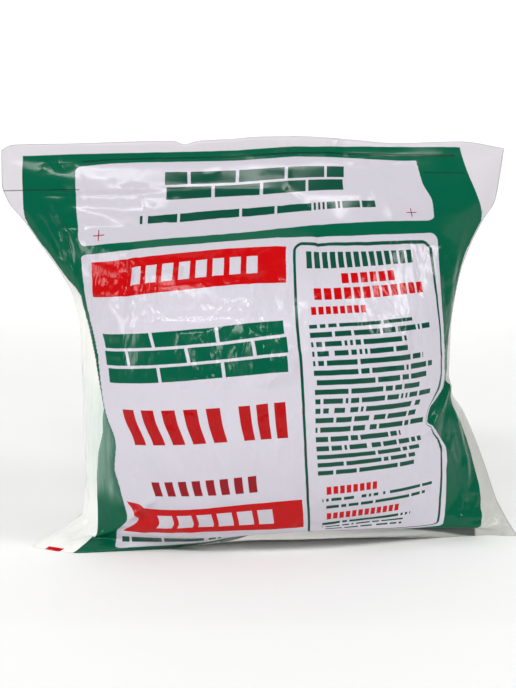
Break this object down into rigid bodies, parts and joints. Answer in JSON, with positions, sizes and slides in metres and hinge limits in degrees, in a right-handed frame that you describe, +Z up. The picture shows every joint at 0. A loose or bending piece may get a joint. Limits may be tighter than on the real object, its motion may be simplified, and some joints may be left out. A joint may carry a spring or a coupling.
{
  "type": "cement bag",
  "caption": "Upright pillow sack of welded printed polyethylene film, filled with cement powder, with a flat header at its mouth.",
  "frame": {"origin": "on the floor, under the middle of the bounding box", "axes": "+Z up towards the mouth, +X along the two welds to the printed front's right, -Y out of the printed front"},
  "size_m": [0.31, 0.1291, 0.241],
  "materials": {
    "printed_film": "glossy milky-white polyethylene film, printed green and red",
    "cement_powder": "dull grey fine powder"
  },
  "bodies": {
    "root": {"film_sack": "printed_film", "cement_fill": "cement_powder"}
  },
  "joints": []
}
